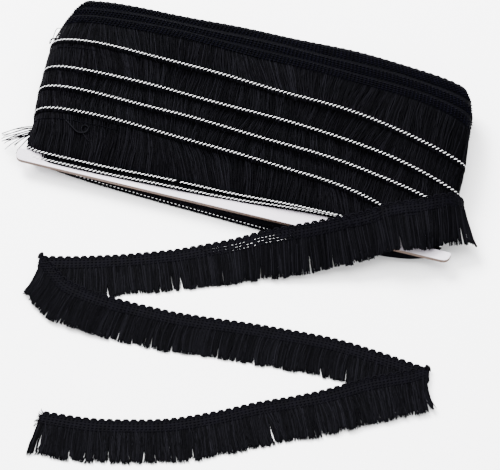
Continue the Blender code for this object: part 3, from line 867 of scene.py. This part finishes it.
RIDE_HEIGHT = 1.2
EDGE_CLEARANCE = 2.0
LIP_REACH = 3.0
NOTHING_UNDER = -50.0
RUN_SAMPLES = 600
BAND_PITCH = 1.0
BAND_SEED = 3
BAND_THICK = 0.6


def surface_under(x, y):
    # Height of what carries the free end at a place: wound trim or bare card, or nothing
    left = nose_at(y, "left")
    right = nose_at(y, "right")
    along = (2.0 * x - left - right) / (right - left)
    if abs(along) >= 1.0:
        return NOTHING_UNDER
    first = pack_point(0, along, 1.0)
    if y < first.y - LIP_REACH:
        if y < CARD_NEAR_Y - EDGE_CLEARANCE:
            return NOTHING_UNDER
        return card_height(y) + 0.5 * CARD_THICK + EDGE_CLEARANCE - RIDE_HEIGHT
    if y < first.y:
        return first.z
    low = first
    for row in range(1, LAST_ROW + 1):
        high = pack_point(row, along, 1.0)
        if y <= high.y:
            return mix(low.z, high.z, (y - low.y) / max(high.y - low.y, 1e-6))
        low = high
    return low.z


def plan_direction(angle):
    return Vector((math.sin(math.radians(angle)), -math.cos(math.radians(angle)), 0.0))


def curve_reading(rows, share):
    # The row at that share of a table's length, on a smooth curve through its rows
    place = share * (len(rows) - 1)
    low = min(int(place), len(rows) - 2)
    t = place - low
    four = (rows[max(low - 1, 0)], rows[low], rows[low + 1], rows[min(low + 2, len(rows) - 1)])
    return type(rows[0])(*(0.5 * (2.0 * b + (c - a) * t + (2.0 * a - 5.0 * b + 4.0 * c - d) * t * t
                                  + (3.0 * b - a - 3.0 * c + d) * t ** 3) for a, b, c, d in zip(*four)))


def even_shares(rows, pitch, start=0.0, end=1.0):
    shares = [mix(start, end, step / RUN_SAMPLES) for step in range(RUN_SAMPLES + 1)]
    return evenly_spaced(shares, [Vector(curve_reading(rows, share)[:3]) for share in shares], pitch)


def needed_lift(start, end, clearance, shares):
    # How far the end of a line has to rise for the line to clear what lies under it
    lift = 0.0
    for share in shares:
        point = start.lerp(end, share)
        lift = max(lift, (surface_under(point.x, point.y) + clearance - point.z) / share)
    return lift


def cross_section(rows, share):
    # One place on a run: its scalloped edge and its fringe side
    lay = curve_reading(rows, share)
    rest = 0.5 * HEADING_THICK
    clearance = RIDE_HEIGHT + rest
    flat = plan_direction(lay.lean) * (HEADING_WIDTH + ROOT_STRIP)
    drop = flat.length * math.tan(math.radians(lay.dip))
    edge = Vector((lay.x, lay.y, max(lay.z, rest)))
    edge.z = max(edge.z, surface_under(edge.x, edge.y) + clearance)
    end = edge + flat - UP * drop
    end.z = max(end.z, rest)
    end.z += needed_lift(edge, end, clearance, (0.2, 0.4, 0.6, 0.8, 1.0))
    return edge, edge.lerp(end, HEADING_WIDTH / flat.length)


def turned_over(start, end, outward):
    # Half turn of the heading from the end of one run to the start of the next
    pairs = []
    for step in range(1, TURN_SECTIONS):
        angle = math.pi * step / TURN_SECTIONS
        pair = []
        for low, high in zip(start, end):
            radius = 0.5 * (high.z - low.z)
            middle = low.lerp(high, 0.5 - 0.5 * math.cos(angle))
            pair.append(Vector((middle.x, middle.y, low.z + radius * (1.0 - math.cos(angle))))
                        + outward * radius * math.sin(angle))
        pairs.append(tuple(pair))
    return pairs


def with_directions(pairs):
    # Places of (edge, way across, way that the upper face looks), the same face all along
    sections = []
    for index, (edge, root) in enumerate(pairs):
        before = pairs[max(index - 1, 0)]
        after = pairs[min(index + 1, len(pairs) - 1)]
        travel = (after[0] + after[1] - before[0] - before[1]).normalized()
        across = (root - edge).normalized()
        sections.append((edge, across, travel.cross(across).normalized()))
    return sections


run_pairs = [[cross_section(run, share) for share in even_shares(run, BAND_PITCH)] for run in RUNS]
left_way = Vector((-1.0, 0.0, 0.0))
free_pairs = (run_pairs[0] + turned_over(run_pairs[0][-1], run_pairs[1][0], left_way)
              + run_pairs[1] + turned_over(run_pairs[1][-1], run_pairs[2][0], -left_way) + run_pairs[2])
free_sections = with_directions(free_pairs)
free_length = sum(((a[0] + a[1]) * 0.5 - (b[0] + b[1]) * 0.5).length
                  for a, b in zip(free_pairs, free_pairs[1:])) * MM

BAND_OFFSETS = (0.6, 1.9, 3.15, 3.58, 4.82, 5.27, 6.45, 6.86, 7.9, 9.2)
OPEN_ROWS = (2, 4, 6)
# Where the first run is drawn out between the card and the surface, so that its holes stand open
DRAWN_OUT = (-22.0, 23.0)
OPEN_SHARE = 0.75
EDGE_WAVE = (0.9, 0.3, 0.0, 0.3)
points = []
faces = []
for index, (edge, across, upper) in enumerate(free_sections):
    for row, offset in enumerate(BAND_OFFSETS):
        points.append(edge + across * (offset + (0.0 if row else EDGE_WAVE[index % 4])))
width = len(BAND_OFFSETS)
chance = random.Random(BAND_SEED)
for index in range(len(free_sections) - 1):
    drawn_out = index < len(run_pairs[0]) and DRAWN_OUT[0] < free_sections[index][0].x < DRAWN_OUT[1]
    for row in range(width - 1):
        if drawn_out and index % 2 and row in OPEN_ROWS and chance.random() < OPEN_SHARE:
            continue
        low = index * width + row
        faces.append((low, low + width, low + width + 1, low + 1))
heading_band = new_piece("heading_band", points, faces)
body = heading_band.vertex_groups.new(name="body")
body.add([index for index in range(len(points)) if index % width < width - 2], 1.0, "REPLACE")
thicken = heading_band.modifiers.new("thickness", "SOLIDIFY")
thicken.thickness = BAND_THICK * MM
thicken.offset = 0.0
thicken.vertex_group = "body"
thicken.thickness_vertex_group = 0.2
heading_band.data.materials.append(heading_finish)

full_cell = ladder_cell("full_cell", (1.0, -1.0), 4, 0.45)
knob = scallop("knob", 1.0)
free_ladder = sewn("heading_ladder_rows", free_sections, full_cell, heading_finish, every=2)
free_scallops = sewn("heading_scallops", free_sections, knob, heading_finish, every=4, first=2)
for shape in (front_cell, full_cell, flat_knob, knob, chain_stitch, covered_bead, thread_tack):
    bpy.data.objects.remove(shape)
for piece in (heading_band, free_ladder, free_scallops):
    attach(piece, "root")
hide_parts("heading")


# Free end, its fringe: cut threads that are caught in the heading's lowest row and lie loose on
# the pack, over the card's edge and on the surface. They gather in small locks with splits
# between them, and their ends are uneven.

Share = namedtuple("Share", "node run start end width mess splay")
FRINGES = (
    Share("fringe_on_pack", 0, 0.030, 0.302, 28.0, 0.5, 0.0),
    Share("fringe_over_edge", 0, 0.302, 0.592, 26.5, 0.5, 0.0),
    Share("fringe_run_1", 0, 0.592, 0.995, 26.5, 0.9, 0.0),
    Share("fringe_run_2", 1, 0.003, 0.995, 25.5, 1.2, 0.0),
    Share("fringe_run_3", 2, 0.003, 0.999, 27.5, 2.3, 0.9),
)
FREE_PITCH = 0.85
FREE_THREADS = 7
FREE_RADIUS = 0.24
FREE_SPREAD = 0.45
FREE_POINTS = 6
SWAY = 0.45
FREE_SEED = 40
FILL_THREADS = 2
FILL_RADIUS = 0.42
FILL_SHORT = 0.91
SPLIT_GAP = (12.0, 36.0)
SPLIT_PUSH = (0.3, 0.85)
SPLAY_OVER = 7.0
LOCK_WIDTH = (1.4, 4.5)
LOCK_CUT = (-0.055, 0.035)
GATHER = 0.10
BOW = 0.7


def fringe_lines(share, seed, mess, cut):
    # Guide lines along one fringe, gathered in locks that part at the splits
    chance = random.Random(seed)
    rows = RUNS[share.run]
    shares = even_shares(rows, FREE_PITCH, share.start, share.end)
    splits = []
    place = chance.uniform(4.0, 14.0)
    while place < len(shares) * FREE_PITCH:
        splits.append((place, chance.uniform(*SPLIT_PUSH), chance.uniform(1.5, 3.0)))
        place += chance.uniform(*SPLIT_GAP)
    lock_end = 0.0
    bow = 0.0
    lines = []
    for index, at in enumerate(shares):
        run_mm = index * FREE_PITCH
        if run_mm >= lock_end:
            lock_start = lock_end
            lock_end = run_mm + chance.uniform(*LOCK_WIDTH)
            lock_cut = chance.uniform(*LOCK_CUT)
            lock_lean = chance.uniform(-0.3, 0.3) * (1.0 + mess)
            bow = 0.5 * bow + chance.uniform(-BOW, BOW) * mess
        lay = curve_reading(rows, at)
        edge, root = cross_section(rows, at)
        across = (root - edge).normalized()
        start = root - across * 1.1
        length = (share.width - HEADING_WIDTH) * (cut + lock_cut + chance.uniform(-0.012, 0.012)) + 1.1
        travel = plan_direction(lay.lean + 90.0) * (1.0 if share.run == 1 else -1.0)
        gather = GATHER * (0.5 * (lock_start + lock_end) - run_mm) + lock_lean
        for place, push, wide in splits:
            away = run_mm - place
            gather += math.copysign(push, away) * math.exp(-abs(away) / wide)
        gather += share.splay * max(0.0, 1.0 - (len(shares) * FREE_PITCH - run_mm) / SPLAY_OVER)
        phase = at * len(rows) * 9.0
        sway = SWAY * math.sin(phase * 0.8)
        slope = math.tan(math.radians(lay.dip))
        sideways = plan_direction(lay.lean + 90.0) * sway
        line = [(start, travel, UP)]
        for step in range(1, FREE_POINTS):
            part = step / (FREE_POINTS - 1)
            flat = start + plan_direction(lay.lean + lay.sweep * part) * length * part
            flat += sideways * part + travel * (gather * part ** 1.6 + bow * math.sin(math.pi * part))
            point = Vector((flat.x, flat.y, max(start.z - slope * length * part, 0.55)))
            point.z += needed_lift(line[-1][0], point, RIDE_HEIGHT + 0.4, (0.5, 1.0))
            line.append((point, travel, UP))
        lines.append(line)
    return lines


fringe_pieces = []
for order, share in enumerate(FRINGES):
    seed = FREE_SEED + order
    filling = laid(share.node + "_filling", fringe_lines(share, seed, 0.0, FILL_SHORT), seed,
                   FILL_THREADS, FILL_RADIUS, FREE_SPREAD, fan=0.1, wave=0.0, pile=0.05, uneven=0.03)
    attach(filling, "root")
    piece = laid(share.node + "_threads", fringe_lines(share, seed, share.mess, 1.0), seed,
                 FREE_THREADS, FREE_RADIUS, FREE_SPREAD, fan=0.20 + 0.3 * share.mess,
                 wave=0.15 * share.mess, pile=0.32, uneven=0.02 + 0.03 * share.mess)
    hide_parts(share.node)
    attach(piece, "root")
    fringe_pieces += [piece, filling]


# Loose strands: a few threads of a back wrap that have slipped out past the left end, two that
# have worked loose from the wraps, and the frayed ones where the free end was cut off.

LooseEnd = namedtuple("LooseEnd", "root_y reach_x reach_y tip_z")
LOOSE_ENDS = (
    LooseEnd(27.5, -16.4, -7.0, 6.0),
    LooseEnd(26.6, -14.8, -9.6, 8.5),
    LooseEnd(25.6, -16.0, -8.6, 4.5),
    LooseEnd(24.6, -13.0, -10.9, 7.5),
    LooseEnd(23.6, -11.4, -12.6, 5.5),
    LooseEnd(22.6, -7.6, -9.2, 7.0),
    LooseEnd(21.8, -13.4, -5.6, 6.4),
    LooseEnd(21.2, -5.4, -10.5, 5.0),
)
LOOSE_ROOT_Z = 9.4
LOOSE_WAY = Vector((0.6, -0.8, 0.0))
LOOSE_RADIUS = 0.26
LOOSE_SEED = 5
CURL_POINTS = 28
Curl = namedtuple("Curl", "row turn lift")
# The worked loose threads as places over the wraps, the first as a loop past the left end
LOOSE_CURLS = (
    (Curl(14.6, 0.030, 0.2), Curl(14.9, 0.012, 1.6), Curl(15.3, -0.002, 3.0), Curl(16.0, -0.004, 3.4),
     Curl(16.4, 0.004, 2.6), Curl(16.2, 0.014, 1.4), Curl(15.8, 0.028, 0.3)),
    (Curl(2.7, 0.088, 0.3), Curl(2.3, 0.098, 0.7), Curl(1.9, 0.108, 0.9), Curl(2.0, 0.118, 0.9),
     Curl(2.4, 0.120, 0.8), Curl(2.5, 0.114, 0.7), Curl(2.2, 0.112, 0.6), Curl(1.7, 0.120, 0.5),
     Curl(1.5, 0.128, 0.3)),
)
# The frayed threads: place across the heading, reach and bend
FRAYED = ((0.9, 1.6, -2.4), (2.4, 2.2, -2.0), (3.2, 2.6, 1.8),
          (4.4, 2.0, -2.6), (5.6, 2.8, 1.4), (6.8, 2.3, 2.6))

lines = []
for curl in LOOSE_CURLS:
    line = []
    for step in range(CURL_POINTS):
        row, turn, lift = curve_reading(curl, step / (CURL_POINTS - 1))
        point, way, across, outward = skin_frame(row, turn)
        line.append((point + outward * lift, across, outward))
    lines.append(line)
cut_edge, cut_across = free_sections[-1][:2]
cut_way = (cut_edge - free_sections[-2][0]).normalized()
for offset, out, bend in FRAYED:
    root = cut_edge + cut_across * offset - cut_way * 1.0
    line = []
    for step in range(5):
        share = step / 4.0
        point = root + cut_way * (out + 1.0) * share + cut_across * bend * share ** 2
        line.append((Vector((point.x, point.y, max(0.4, point.z))), cut_across, UP))
    lines.append(line)
for end in LOOSE_ENDS:
    root = Vector((nose_at(end.root_y, "left") + 0.6, end.root_y, LOOSE_ROOT_Z))
    tip = root + Vector((end.reach_x, end.reach_y, end.tip_z - LOOSE_ROOT_Z))
    middle = root.lerp(tip, 0.5) + UP * 0.8 + Vector((-1.2, 0.0, 0.0))
    line = []
    for step in range(7):
        share = step / 6.0
        point = root.lerp(middle, share).lerp(middle.lerp(tip, share), share)
        line.append((point, LOOSE_WAY, UP))
    lines.append(line)
loose = laid("loose_threads", lines, LOOSE_SEED, 2, LOOSE_RADIUS, FREE_SPREAD,
             fan=0.9, wave=0.3, pile=0.3, uneven=0.12)
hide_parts("loose_strands")
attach(loose, "root")


# Stage: a plain white surface, soft daylight from the upper left and behind, and the camera at
# the photograph's angle.

CAMERA_TURN = math.radians(17.5)
CAMERA_RISE = math.radians(52.0)
CAMERA_REACH = 2.6
VIEW_WIDTH = 0.257
SENSOR = 36.0
FLOOR_REACH = 4.0
FLOOR_TONE = (0.92, 0.92, 0.93, 1.0)
DAYLIGHT = 2.7

floor_mesh = bpy.data.meshes.new("floor")
floor_mesh.from_pydata([(x * FLOOR_REACH, y * FLOOR_REACH, 0.0) for x, y in
                        ((-1.0, -1.0), (1.0, -1.0), (1.0, 1.0), (-1.0, 1.0))], [], [(0, 1, 2, 3)])
floor = linked("floor", floor_mesh)
floor_finish, wire, shader = new_finish("pale_floor", {"Base Color": FLOOR_TONE, "Roughness": 0.9,
                                                       "Specular IOR Level": 0.1})
floor_mesh.materials.append(floor_finish)

world = bpy.data.worlds.new("daylight")
bpy.context.scene.world = world
world.use_nodes = True
sky = world.node_tree.nodes["Background"].inputs
sky["Color"].default_value = (1.0, 1.0, 1.0, 1.0)
sky["Strength"].default_value = DAYLIGHT

Lamp = namedtuple("Lamp", "name x y z size watts")
LAMPS = (
    Lamp("window", -1.0, 0.9, 1.3, 0.9, 190.0),
    Lamp("overhead", 0.2, 0.1, 1.9, 1.6, 60.0),
)
for lamp in LAMPS:
    data = bpy.data.lights.new(lamp.name, "AREA")
    data.size = lamp.size
    data.energy = lamp.watts
    light = linked(lamp.name, data)
    light.location = (lamp.x, lamp.y, lamp.z)
    light.rotation_euler = (-Vector(light.location)).to_track_quat("-Z", "Y").to_euler()

back = Vector((math.sin(CAMERA_TURN) * math.cos(CAMERA_RISE),
               -math.cos(CAMERA_TURN) * math.cos(CAMERA_RISE), math.sin(CAMERA_RISE)))
camera_data = bpy.data.cameras.new("camera")
camera_data.sensor_width = SENSOR
camera_data.lens = SENSOR * CAMERA_REACH / VIEW_WIDTH
camera = linked("camera", camera_data)
camera.location = placed((0.0, 0.0, 0.0)) + back * CAMERA_REACH
camera.rotation_euler = back.to_track_quat("Z", "Y").to_euler()
bpy.context.scene.camera = camera
